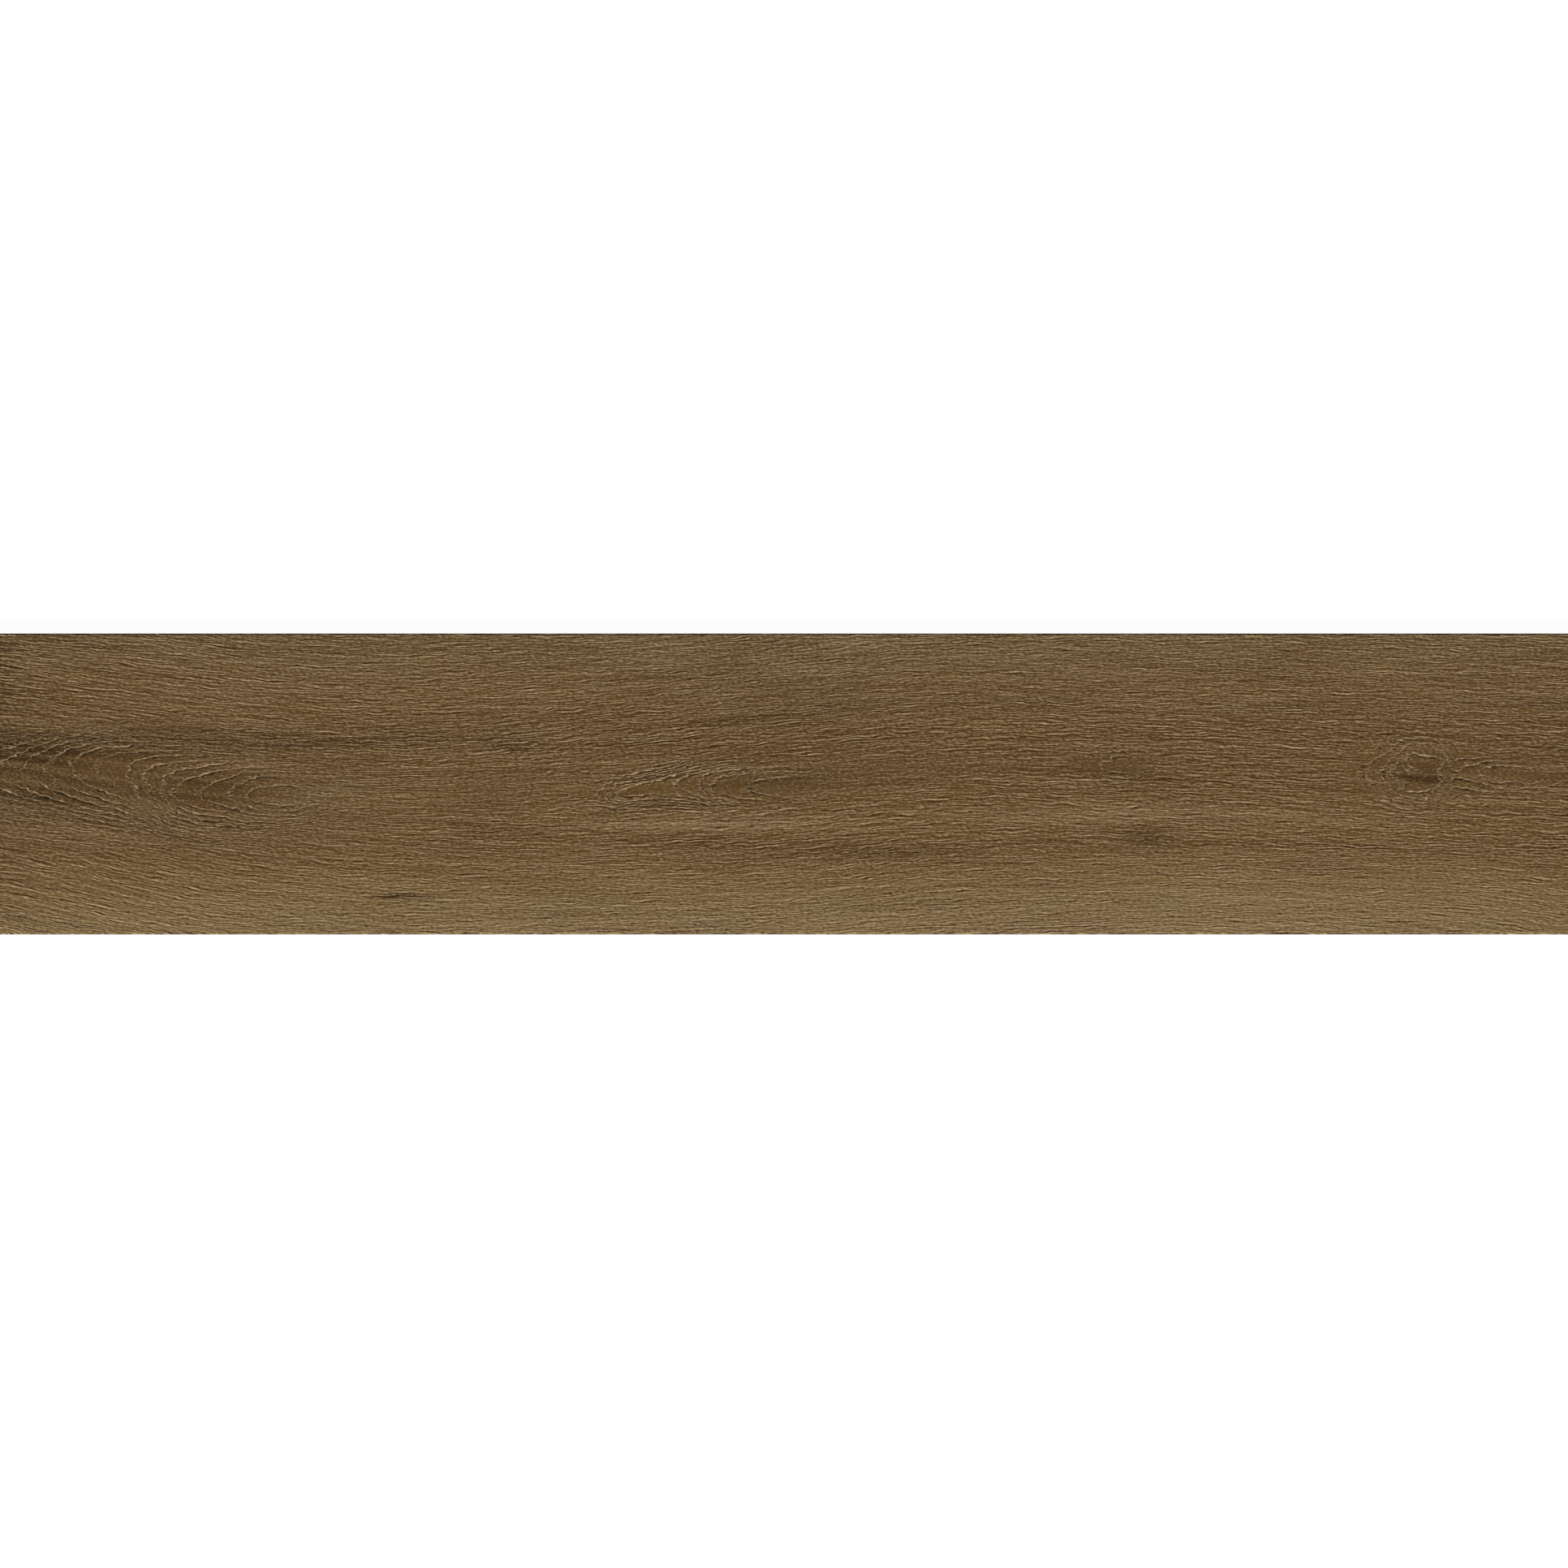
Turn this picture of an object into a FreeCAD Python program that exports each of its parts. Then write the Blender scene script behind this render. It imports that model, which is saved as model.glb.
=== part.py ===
"""Wood look porcelain plank tile, one pressed and fired piece.

The tile lies face up on its back. X runs along the plank, Y across it and +Z out of the face.
The origin is the centre of the back, on the plane that the tile rests on. Lengths are in millimetres.
"""

import FreeCAD, Part
import math
import os

import Sketcher

SIZES = [
    ("tile_length", "1200", "ground length of the plank"),
    ("tile_width", "230", "ground width of the plank"),
    ("tile_thickness", "10", "overall thickness, from the back's ribs to the face"),
    ("face_bevel", "0.8", "ground 45 degree bevel round the face"),
    ("back_bevel", "0.5", "ground 45 degree arris round the back"),
    ("border_width", "12.5", "plain band between the tile's sides and the keying recesses"),
    ("rib_width", "5", "rib between two recesses, at the back's surface"),
    ("recess_columns", "18", "recesses along the plank"),
    ("recess_rows", "4", "recesses across the plank"),
    ("recess_corner", "5", "corner radius of a recess at its mouth"),
    ("recess_depth", "0.7", "depth of the recesses"),
    ("draft_angle", "35", "slope of the recess walls away from the pressing direction, in degrees"),
]

# A span is one side of the tile, and the grid repeats its recess this often along it.
REPEATS = {"length": "round(Sizes.recess_columns)", "width": "round(Sizes.recess_rows)"}
AXES = {"length": "X_Axis", "width": "Y_Axis"}
WALL_RUN = "Sizes.recess_depth * tan(Sizes.draft_angle)"

# A sketch's numbers for its sides, which run round from the front one, for a side's ends and for the origin.
SIDES = FRONT, RIGHT, REAR, LEFT = range(4)
START, END = 1, 2
ORIGIN = -1

UP = FreeCAD.Vector(0, 0, 1)
VOLUME_TOLERANCE = 0.001


def tile_side(span):
    """Expression for the tile's length or width."""
    return f"Sizes.tile_{span}"


def pitch(span):
    """Expression for the distance from one recess to the next, which fills the back between its borders."""
    return f"({tile_side(span)} - 2 * Sizes.border_width + Sizes.rib_width) / {REPEATS[span]}"


def recess_side(span):
    """Expression for the length or width of a recess at its mouth."""
    return f"{pitch(span)} - Sizes.rib_width"


def grid_reach(span):
    """Expression for the distance from the back's centre to the outer side of the outermost recess."""
    return f"{tile_side(span)} / 2 - Sizes.border_width"


def make_sheet(doc):
    """Spreadsheet that holds the driving dimensions, one row and one alias each."""
    sheet = doc.addObject("Spreadsheet::Sheet", "Sizes")
    for row, (alias, value, meaning) in enumerate(SIZES, start=1):
        sheet.set(f"A{row}", alias)
        sheet.set(f"B{row}", value)
        sheet.setAlias(f"B{row}", alias)
        sheet.set(f"C{row}", meaning)
    doc.recompute()
    return sheet


def origin_feature(body, role):
    """The body's own origin plane or axis of that role, such as XY_Plane."""
    return next(feature for feature in body.Origin.OriginFeatures if feature.Role == role)


def level_sketch(body, name):
    """Empty sketch on the body's XY plane, which is the plane of the back."""
    sketch = body.newObject("Sketcher::SketchObject", name)
    sketch.AttachmentSupport = [(origin_feature(body, "XY_Plane"), "")]
    sketch.MapMode = "FlatFace"
    return sketch


def set_measures(sketch, measures):
    """Adds each dimension to the sketch under its own name, driven by its expression."""
    for label, constraint, expression in measures:
        index = sketch.addConstraint(constraint)
        sketch.renameConstraint(index, label)
        sketch.setExpression(f"Constraints.{label}", expression)


def values_of(sketch, expressions):
    """What the expressions come to now, in millimetres."""
    return [float(sketch.evalExpression(expression)) for expression in expressions]


def add_sides(sketch, sides, reaches, radius):
    """Draws and dimensions a rectangle's sides, each of which stops short of its corners by the radius.

    The expressions are those of its two sides, and of how far its left and front sides lie from the origin.
    Returns the centre of the corner that each side ends at."""
    length, width, left, front = values_of(sketch, sides + reaches)
    middle = FreeCAD.Vector(length / 2 - left, width / 2 - front, 0)
    centres = []
    for side in SIDES:
        level = side in (FRONT, REAR)
        half, offset = (length / 2, width / 2) if level else (width / 2, length / 2)
        run = half - radius
        turn = FreeCAD.Rotation(UP, 90 * side)
        start, stop = (turn.multVec(FreeCAD.Vector(along, -offset, 0)) for along in (-run, run))
        sketch.addGeometry(Part.LineSegment(middle + start, middle + stop))
        sketch.addConstraint(Sketcher.Constraint("Horizontal" if level else "Vertical", side))
        centres.append(middle + turn.multVec(FreeCAD.Vector(run, radius - offset, 0)))

    dimension = Sketcher.Constraint
    set_measures(sketch, [
        ("length", dimension("DistanceX", LEFT, START, RIGHT, START, length), sides[0]),
        ("width", dimension("DistanceY", FRONT, START, REAR, START, width), sides[1]),
        ("left", dimension("DistanceX", LEFT, START, ORIGIN, START, left), reaches[0]),
        ("front", dimension("DistanceY", FRONT, START, ORIGIN, START, front), reaches[1]),
    ])
    return centres


def next_side(side):
    """Number of the side that follows this one."""
    return (side + 1) % len(SIDES)


def tile_outline(body):
    """Plan of the tile, centred on the origin."""
    sketch = level_sketch(body, "TileOutline")
    sides = [tile_side(span) for span in AXES]
    add_sides(sketch, sides, [f"{side} / 2" for side in sides], 0)
    for side in SIDES:
        sketch.addConstraint(Sketcher.Constraint("Coincident", side, END, next_side(side), START))
    return sketch


def recess_outline(body, name, level, inset):
    """Plan of the first recess at one level: a rectangle with round corners, inset from the mouth."""
    sketch = level_sketch(body, name)
    sketch.setExpression("AttachmentOffset.Base.z", level)
    sides = [f"{recess_side(span)} - 2 * ({inset})" for span in AXES]
    reaches = [f"{grid_reach(span)} - ({inset})" for span in AXES]
    corner = f"Sizes.recess_corner - ({inset})"
    (radius,) = values_of(sketch, [corner])
    centres = add_sides(sketch, sides, reaches, radius)

    first_arc = len(SIDES)
    for side, centre in zip(SIDES, centres):
        circle = Part.Circle(centre, UP, radius)
        turn = 90 * side
        arc = sketch.addGeometry(Part.ArcOfCircle(circle, math.radians(turn - 90), math.radians(turn)))
        sketch.addConstraint(Sketcher.Constraint("Tangent", side, END, arc, START))
        sketch.addConstraint(Sketcher.Constraint("Tangent", arc, END, next_side(side), START))
        if arc > first_arc:
            sketch.addConstraint(Sketcher.Constraint("Equal", first_arc, arc))
    set_measures(sketch, [("corner", Sketcher.Constraint("Radius", first_arc, radius), corner)])
    return sketch


def add_blank(body):
    """Pressed slab, ground square on its four sides."""
    blank = body.newObject("PartDesign::Pad", "Blank")
    blank.Profile = tile_outline(body)
    blank.setExpression("Length", "Sizes.tile_thickness")
    body.Document.recompute()
    return blank


def rim_edges(shape, level):
    """Names of the edges that lie in the level plane, which are the rim of the face or of the back."""
    return [
        f"Edge{number}"
        for number, edge in enumerate(shape.Edges, start=1)
        if all(abs(vertex.Z - level) < Part.Precision.confusion() for vertex in edge.Vertexes)
    ]


def add_bevel(body, base, name, size, level):
    """Bevel at 45 degrees along the rim at that level."""
    bevel = body.newObject("PartDesign::Chamfer", name)
    bevel.Base = (base, rim_edges(base.Shape, level))
    bevel.setExpression("Size", size)
    body.Document.recompute()
    return bevel


def add_recess(body):
    """First keying recess, at the back's front left corner, with walls that slope in towards its floor."""
    recess = body.newObject("PartDesign::SubtractiveLoft", "Recess")
    recess.Profile = recess_outline(body, "RecessMouth", "0", "0")
    recess.Sections = [recess_outline(body, "RecessFloor", "Sizes.recess_depth", WALL_RUN)]
    recess.Ruled = True
    body.Document.recompute()
    return recess


def add_recess_grid(body, recess):
    """Repeats the recess along and across the back, which leaves a lattice of ribs."""
    grid = body.newObject("PartDesign::MultiTransform", "RecessGrid")
    grid.Originals = [recess]
    grid.Refine = False
    rows = []
    for span, axis in AXES.items():
        row = body.newObject("PartDesign::LinearPattern", f"Along_{span}")
        row.Direction = (origin_feature(body, axis), [""])
        row.Mode = "Spacing"
        row.setExpression("Offset", pitch(span))
        row.setExpression("Occurrences", REPEATS[span])
        rows.append(row)
    grid.Transformations = rows
    body.Tip = grid
    body.Document.recompute()
    return grid


def make_tile(doc):
    """The whole tile as one body."""
    body = doc.addObject("PartDesign::Body", "PlankTile")
    body.Label = "plank_tile"
    blank = add_blank(body)
    faced = add_bevel(body, blank, "FaceBevel", "Sizes.face_bevel", doc.Sizes.tile_thickness)
    ground = add_bevel(body, faced, "BackBevel", "Sizes.back_bevel", 0)
    recess = add_recess(body)
    grid = add_recess_grid(body, recess)

    one_recess = ground.Shape.Volume - recess.Shape.Volume
    all_recesses = ground.Shape.Volume - grid.Shape.Volume
    count = math.prod(row.Occurrences for row in grid.Transformations)
    if one_recess <= 0 or abs(all_recesses - count * one_recess) > VOLUME_TOLERANCE * all_recesses:
        raise RuntimeError("the keying recesses don't cut the back as they should")
    return body


def check(doc, parts):
    """Stops the build where a feature failed or a part has no valid solid."""
    failed = [o.Name for o in doc.Objects if {"Invalid", "Error"} & set(o.State)]
    if failed:
        raise RuntimeError(f"features failed: {failed}")
    for part in parts:
        if part.Shape.isNull() or not part.Shape.isValid() or not part.Shape.Solids:
            raise RuntimeError(f"{part.Label} has no valid solid")


def main():
    """Builds the document and writes each part to its own file."""
    doc = FreeCAD.newDocument("PlankTile")
    make_sheet(doc)
    parts = [make_tile(doc)]
    doc.recompute()
    check(doc, parts)

    os.makedirs("parts", exist_ok=True)
    for part in parts:
        part.Shape.exportStep(f"parts/{part.Label}.step")
        box = part.Shape.BoundBox
        print(f"{part.Label}: {box.XLength:.2f} x {box.YLength:.2f} x {box.ZLength:.2f} mm")


main()
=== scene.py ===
"""Blender scene for the wood look porcelain plank tile.

The CAD node gives the tile's outline, its edges and its back. The piece made here keeps them and gives the
face its pressed grain. It dresses the printed glaze, the ground sides and the back as it leaves the kiln.
Lengths are in millimetres in the frame of the CAD, and turn into metres where they go into Blender.
"""

from __future__ import annotations

import logging
import math
from collections.abc import Callable
from dataclasses import dataclass
from enum import Enum

import bmesh
import bpy
import numpy as np
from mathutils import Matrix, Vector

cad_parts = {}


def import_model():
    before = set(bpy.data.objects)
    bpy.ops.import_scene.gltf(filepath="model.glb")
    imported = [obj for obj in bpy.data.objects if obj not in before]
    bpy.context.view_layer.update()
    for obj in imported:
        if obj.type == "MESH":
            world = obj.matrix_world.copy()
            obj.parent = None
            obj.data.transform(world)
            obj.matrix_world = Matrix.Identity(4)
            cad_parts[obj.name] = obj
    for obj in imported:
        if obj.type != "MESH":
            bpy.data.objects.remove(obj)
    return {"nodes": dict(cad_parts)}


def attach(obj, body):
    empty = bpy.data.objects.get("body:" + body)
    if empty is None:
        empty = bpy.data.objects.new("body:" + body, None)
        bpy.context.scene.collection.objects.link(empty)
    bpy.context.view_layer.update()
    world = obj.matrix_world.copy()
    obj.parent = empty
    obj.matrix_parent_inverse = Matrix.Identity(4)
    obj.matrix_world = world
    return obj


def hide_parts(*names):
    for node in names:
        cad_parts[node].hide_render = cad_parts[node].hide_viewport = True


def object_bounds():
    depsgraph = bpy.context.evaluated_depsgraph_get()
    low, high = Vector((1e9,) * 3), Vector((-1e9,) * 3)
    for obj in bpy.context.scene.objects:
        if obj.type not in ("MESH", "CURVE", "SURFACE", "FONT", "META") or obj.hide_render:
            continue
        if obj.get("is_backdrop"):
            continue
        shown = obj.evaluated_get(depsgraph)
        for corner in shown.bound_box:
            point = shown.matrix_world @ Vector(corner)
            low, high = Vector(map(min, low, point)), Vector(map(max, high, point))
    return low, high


log = logging.getLogger("plank_tile")

METRE = 1000.0
NODE = "plank_tile"


class Surface(Enum):
    """Which finish a face of the tile has. The value is its place among the tile's materials."""

    PRINT = 0
    GROUND = 1
    BACK = 2


class Mark(Enum):
    """What a patch of the print does to the grain. The first three are the parts of the marks attribute.

    A tone is dark where its amount is positive and pale where it is negative. Rings are where the figure
    of the rings shows.
    """

    CALM = 0
    TONE = 1
    GREY = 2
    RINGS = 3


@dataclass(frozen=True)
class HeartStation:
    """The heart of the cathedral grain at one place along the plank.

    Args:
        along: place along the plank.
        across: where the heart line runs.
        rings: how many rings the cathedral has opened by here.
        bluntness: how round the tips of the arches are.
        reach_up: how far the arches spread above the heart.
        reach_down: how far they spread below it.
    """

    along: float
    across: float
    rings: float
    bluntness: float
    reach_up: float
    reach_down: float


@dataclass(frozen=True)
class FibreRow:
    """How far the fibres drift towards the rear side as they run along one row of the board.

    Args:
        across: where the row lies.
        drifts: places along the plank, each with the drift there.
    """

    across: float
    drifts: tuple[tuple[float, float], ...]


@dataclass(frozen=True)
class Eye:
    """A closed figure in the grain, such as a knot, which the rings run round."""

    along: float
    across: float
    half_length: float
    half_width: float
    rise: float


@dataclass(frozen=True)
class Patch:
    """A soft-edged oval of the print, which carries one mark. The slope is that of its long axis."""

    along: float
    across: float
    half_length: float
    half_width: float
    amount: float
    slope: float = 0.0

    def weight(self, along: np.ndarray, across: np.ndarray) -> np.ndarray:
        """Amount times exp(-q), where q is the squared distance in half lengths and half widths."""
        off_along = along - self.along
        off_across = across - self.across - self.slope * off_along
        square = (off_along / self.half_length) ** 2 + (off_across / self.half_width) ** 2
        return self.amount * np.exp(-square)


@dataclass(frozen=True)
class Drift:
    """Seeded value noise between -1 and 1, with its own pitch along and across the plank."""

    pitch_along: float
    pitch_across: float
    seed: int
    cells: int = 512

    def at(self, along: np.ndarray, across: np.ndarray) -> np.ndarray:
        """Random values on a lattice, blended between its knots with the curve 3t^2 - 2t^3.

        Args:
            along: places along the plank.
            across: places across it, or ring values.

        Returns:
            The noise at each place.
        """
        knots = np.random.default_rng(self.seed).uniform(-1, 1, (self.cells, self.cells))
        column, row = along / self.pitch_along, across / self.pitch_across
        left, low = np.floor(column).astype(int), np.floor(row).astype(int)
        part, rise = column - left, row - low
        part, rise = part * part * (3 - 2 * part), rise * rise * (3 - 2 * rise)

        def knot(step_along: int, step_across: int) -> np.ndarray:
            """Lattice values at the knot that is those steps from the lower left one."""
            return knots[(left + step_along) % self.cells, (low + step_across) % self.cells]

        lower = knot(0, 0) * (1 - part) + knot(1, 0) * part
        upper = knot(0, 1) * (1 - part) + knot(1, 1) * part
        return lower * (1 - rise) + upper * rise


def eased(at: np.ndarray, places: np.ndarray, values: np.ndarray) -> np.ndarray:
    """Smooth curve through stations, which never overshoots them.

    Between two stations it is the cubic with their values and slopes. A station's slope is the weighted
    harmonic mean of the chords beside it, or zero where they differ in sign.

    Args:
        at: places to work out.
        places: places of the stations, rising.
        values: their values.

    Returns:
        The curve's value at each place.
    """
    step = np.diff(places)
    chord = np.diff(values) / step
    before, after = chord[:-1], chord[1:]
    heavy, light = 2 * step[1:] + step[:-1], step[1:] + 2 * step[:-1]
    level = before * after <= 0
    safe_before, safe_after = np.where(level, 1, before), np.where(level, 1, after)
    inner = np.where(level, 0, (heavy + light) / (heavy / safe_before + light / safe_after))
    slope = np.concatenate([chord[:1], inner, chord[-1:]])

    first = np.clip(np.searchsorted(places, at) - 1, 0, len(step) - 1)
    span = step[first]
    part = (at - places[first]) / span
    rest = 1 - part
    return (
        values[first] * (1 + 2 * part) * rest ** 2
        + values[first + 1] * (3 - 2 * part) * part ** 2
        + span * slope[first] * part * rest ** 2
        - span * slope[first + 1] * part ** 2 * rest
    )


HEART = tuple(HeartStation(*row) for row in (
    (-610, 9.5, -0.3, 20, 50, 60),
    (-582, 9.0, 1.0, 22, 52, 62),
    (-563, 11.0, 2.0, 24, 56, 66),
    (-544, 11.7, 3.0, 25, 58, 70),
    (-525, 11.7, 4.0, 26, 60, 72),
    (-501, 8.5, 5.0, 25, 60, 72),
    (-488, 3.5, 6.0, 24, 60, 72),
    (-476, -1.5, 7.0, 23, 60, 72),
    (-465, -5.0, 8.0, 22, 60, 70),
    (-446, -7.5, 9.0, 21, 58, 68),
    (-421, -7.3, 10.0, 18, 54, 62),
    (-407, -8.2, 11.0, 16, 50, 56),
    (-383, -9.0, 11.6, 14, 44, 48),
    (-343, -10.0, 9.6, 14, 36, 38),
    (-268, -11.0, 6.0, 18, 30, 30),
    (-220, -7.0, 3.7, 20, 30, 28),
    (-165, -6.6, 1.0, 14, 20, 18),
    (-150, -6.8, 0.5, 8, 13, 12),
    (-141, -7.2, 1.0, 4, 11, 10),
    (-134, -7.4, 2.0, 4, 11, 10),
    (-126, -7.4, 3.0, 4, 11, 10),
    (-100, -3.5, 3.4, 6, 12, 12),
    (-81, -1.2, 4.0, 9, 14, 15),
    (-64, 0.0, 5.0, 11, 17, 18),
    (-54, -1.2, 6.0, 12, 19, 20),
    (-25, -2.4, 7.0, 13, 24, 22),
    (5, -4.5, 7.6, 12, 26, 23),
    (26, -6.5, 7.9, 11, 26, 23),
    (46, -7.5, 7.5, 11, 26, 23),
    (62, -5.0, 7.0, 12, 26, 22),
    (85, -1.0, 6.3, 14, 26, 22),
    (130, 8.0, 5.3, 14, 24, 22),
    (165, 14.0, 4.8, 10, 22, 20),
    (187, 17.0, 4.0, 8, 20, 20),
    (206, 16.6, 3.0, 6, 20, 20),
    (264, 14.0, 2.4, 6, 20, 20),
    (340, 14.0, 1.2, 8, 22, 22),
    (425, 12.0, -0.6, 18, 30, 30),
    (443, 7.0, -1.0, 26, 30, 30),
    (457, 6.0, -0.65, 30, 30, 30),
    (484, 8.5, -0.55, 30, 30, 30),
    (500, 8.5, -0.7, 24, 30, 30),
    (511, 8.0, -1.1, 16, 26, 26),
    (519, 7.6, -0.8, 12, 20, 20),
    (540, 7.2, -0.5, 10, 20, 20),
    (560, 6.6, -0.47, 10, 20, 20),
    (610, 4.0, -0.8, 8, 20, 20),
))

FIBRES = (
    FibreRow(-100, ((-610, 32), (-400, 1), (-300, -2), (-60, 1), (160, 16), (340, 20), (500, 15), (610, 2))),
    FibreRow(-50, ((-610, 37), (-420, 9), (-300, -3), (-180, -5), (-40, -2), (160, 13), (300, 11), (610, 2))),
    FibreRow(0, ((-610, 18), (-480, 2), (-300, -8), (-100, 3), (0, 10), (160, 18), (610, 6))),
    FibreRow(50, ((-610, 6), (-470, -5), (-300, -12), (-140, 0), (0, 14), (160, 24), (610, 15))),
    FibreRow(100, ((-610, 14), (-480, 3), (-360, -8), (-280, -9), (-100, -3), (80, 12), (160, 15), (610, 6))),
)

EYES = (
    Eye(264, 14.2, 22.0, 13.0, 8.5),
    Eye(485, 8.5, 25.0, 40.0, 16.0),
    Eye(560, 6.6, 38.0, 12.5, 14.0),
)

# The values of each patch, by its mark.
PATCHES = {
    Mark.RINGS: (
        (-500, 0, 116, 28, 1.7, -0.12),
        (-85, -2, 66, 18, 1.6, 0.05),
        (-4, 0, 32, 9, 0.9),
        (218, 16, 20, 6, 0.5),
        (254, 14, 20, 14, 1.1),
        (480, 8, 44, 24, 1.5),
        (530, 7, 26, 14, 1.0),
        (570, 7, 40, 13, 0.5),
    ),
    Mark.CALM: (
        (-540, 5, 70, 17, 0.7),
        (-440, -8, 60, 15, 0.7),
        (-227, -3, 34, 16, 0.9),
        (-12, -3, 56, 12, 0.9),
        (70, 9, 55, 15, 0.9),
        (150, 15, 45, 9, 0.7),
        (264, 13.5, 24, 12, 0.9),
        (486, 9, 32, 20, 0.9),
        (560, 6.6, 40, 12, 0.9),
        (283, -42, 20, 10, 0.8),
    ),
    Mark.TONE: (
        (-618, 0, 55, 160, 0.5),
        (-590, 27, 55, 12, 0.6),
        (-480, 29, 110, 13, 0.35),
        (-565, -12, 60, 12, 0.35),
        (614, 20, 32, 110, 0.25),
        (-500, -27, 110, 10, 0.25),
        (-455, 10, 50, 8, 0.3, -0.1),
        (370, -86, 150, 32, -0.12),
        (-400, 30, 260, 11, 0.45),
        (-440, 38, 130, 7, 0.2),
        (-480, 110, 160, 30, 0.25),
        (-300, 36, 90, 6, 0.2),
        (-210, 33, 22, 11, 0.8),
        (-205, 12, 22, 22, 0.2),
        (-130, 35, 50, 7, 0.25),
        (-20, 50, 60, 8, 0.3, 0.14),
        (30, 57, 30, 9, 0.3),
        (150, 61, 130, 6, 0.25),
        (330, 57, 120, 6, 0.2, -0.02),
        (540, 61, 60, 8, 0.25, 0.05),
        (-550, 3, 55, 15, 0.45, -0.15),
        (-440, -6, 60, 15, 0.5, -0.1),
        (-490, -32, 90, 8, 0.4, -0.25),
        (-350, -27, 40, 4, 0.25),
        (-230, -35, 40, 8, 0.3),
        (-100, -48, 110, 9, 0.4, -0.06),
        (60, -51, 90, 7, 0.35, 0.03),
        (180, -45, 70, 6, 0.25, 0.1),
        (276, -41, 24, 8, 0.75),
        (400, -46, 110, 5, 0.3, -0.04),
        (367, -48.7, 28, 1.3, 0.6),
        (545, -49, 60, 7, 0.3),
        (0, 3, 50, 8, 0.55, 0.02),
        (-110, -3, 60, 6, 0.2),
        (300, 25, 320, 32, 0.2),
        (330, 4, 150, 3, 0.25),
        (485, 6, 24, 7, 0.6),
        (478, 5.5, 9, 4.6, 0.5),
        (495, 4, 7, 5, 0.45),
        (-296, -86.6, 13, 4.2, 1.0),
        (-282, -86, 32, 1.6, 0.9),
        (-600, 90, 14, 40, 0.4),
        (-10, 100, 60, 30, 0.25),
        (-245, 112, 50, 8, 0.25),
        (-50, -31, 85, 6, -0.35),
        (270, -24, 150, 8, -0.3),
        (-420, 80, 180, 20, -0.15),
    ),
    Mark.GREY: (
        (-348, -8, 36, 13, 0.9),
        (-9, -3.4, 17, 2.5, 0.9),
        (0, 97, 80, 30, 0.6),
        (0, 106, 640, 16, 0.6),
        (0, -106, 660, 26, 0.9),
    ),
}


@dataclass(frozen=True)
class Grain:
    """The grain worked out on the face, one value for each place.

    Args:
        level: place across the board less the drift of its fibres, which run where it is constant.
        level_pace: how fast the level changes.
        rise: ring value in millimetres; a ring line runs wherever it is a whole number of ring pitches.
        height: how far the place lies above the heart line, in the level's measure.
        pace: how fast the ring value changes.
        spread: how much it changes over the width of a ring line, which is widest along the plank.
        lean: slope of the short dashes, which follow the ring a little way.
        steep: 1 where a ring crosses the plank and 0 where it runs along it.
        nest: 1 where the rings lie far apart and 0 where they crowd.
    """

    level: np.ndarray
    level_pace: np.ndarray
    rise: np.ndarray
    height: np.ndarray
    pace: np.ndarray
    spread: np.ndarray
    lean: np.ndarray
    steep: np.ndarray
    nest: np.ndarray


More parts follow.
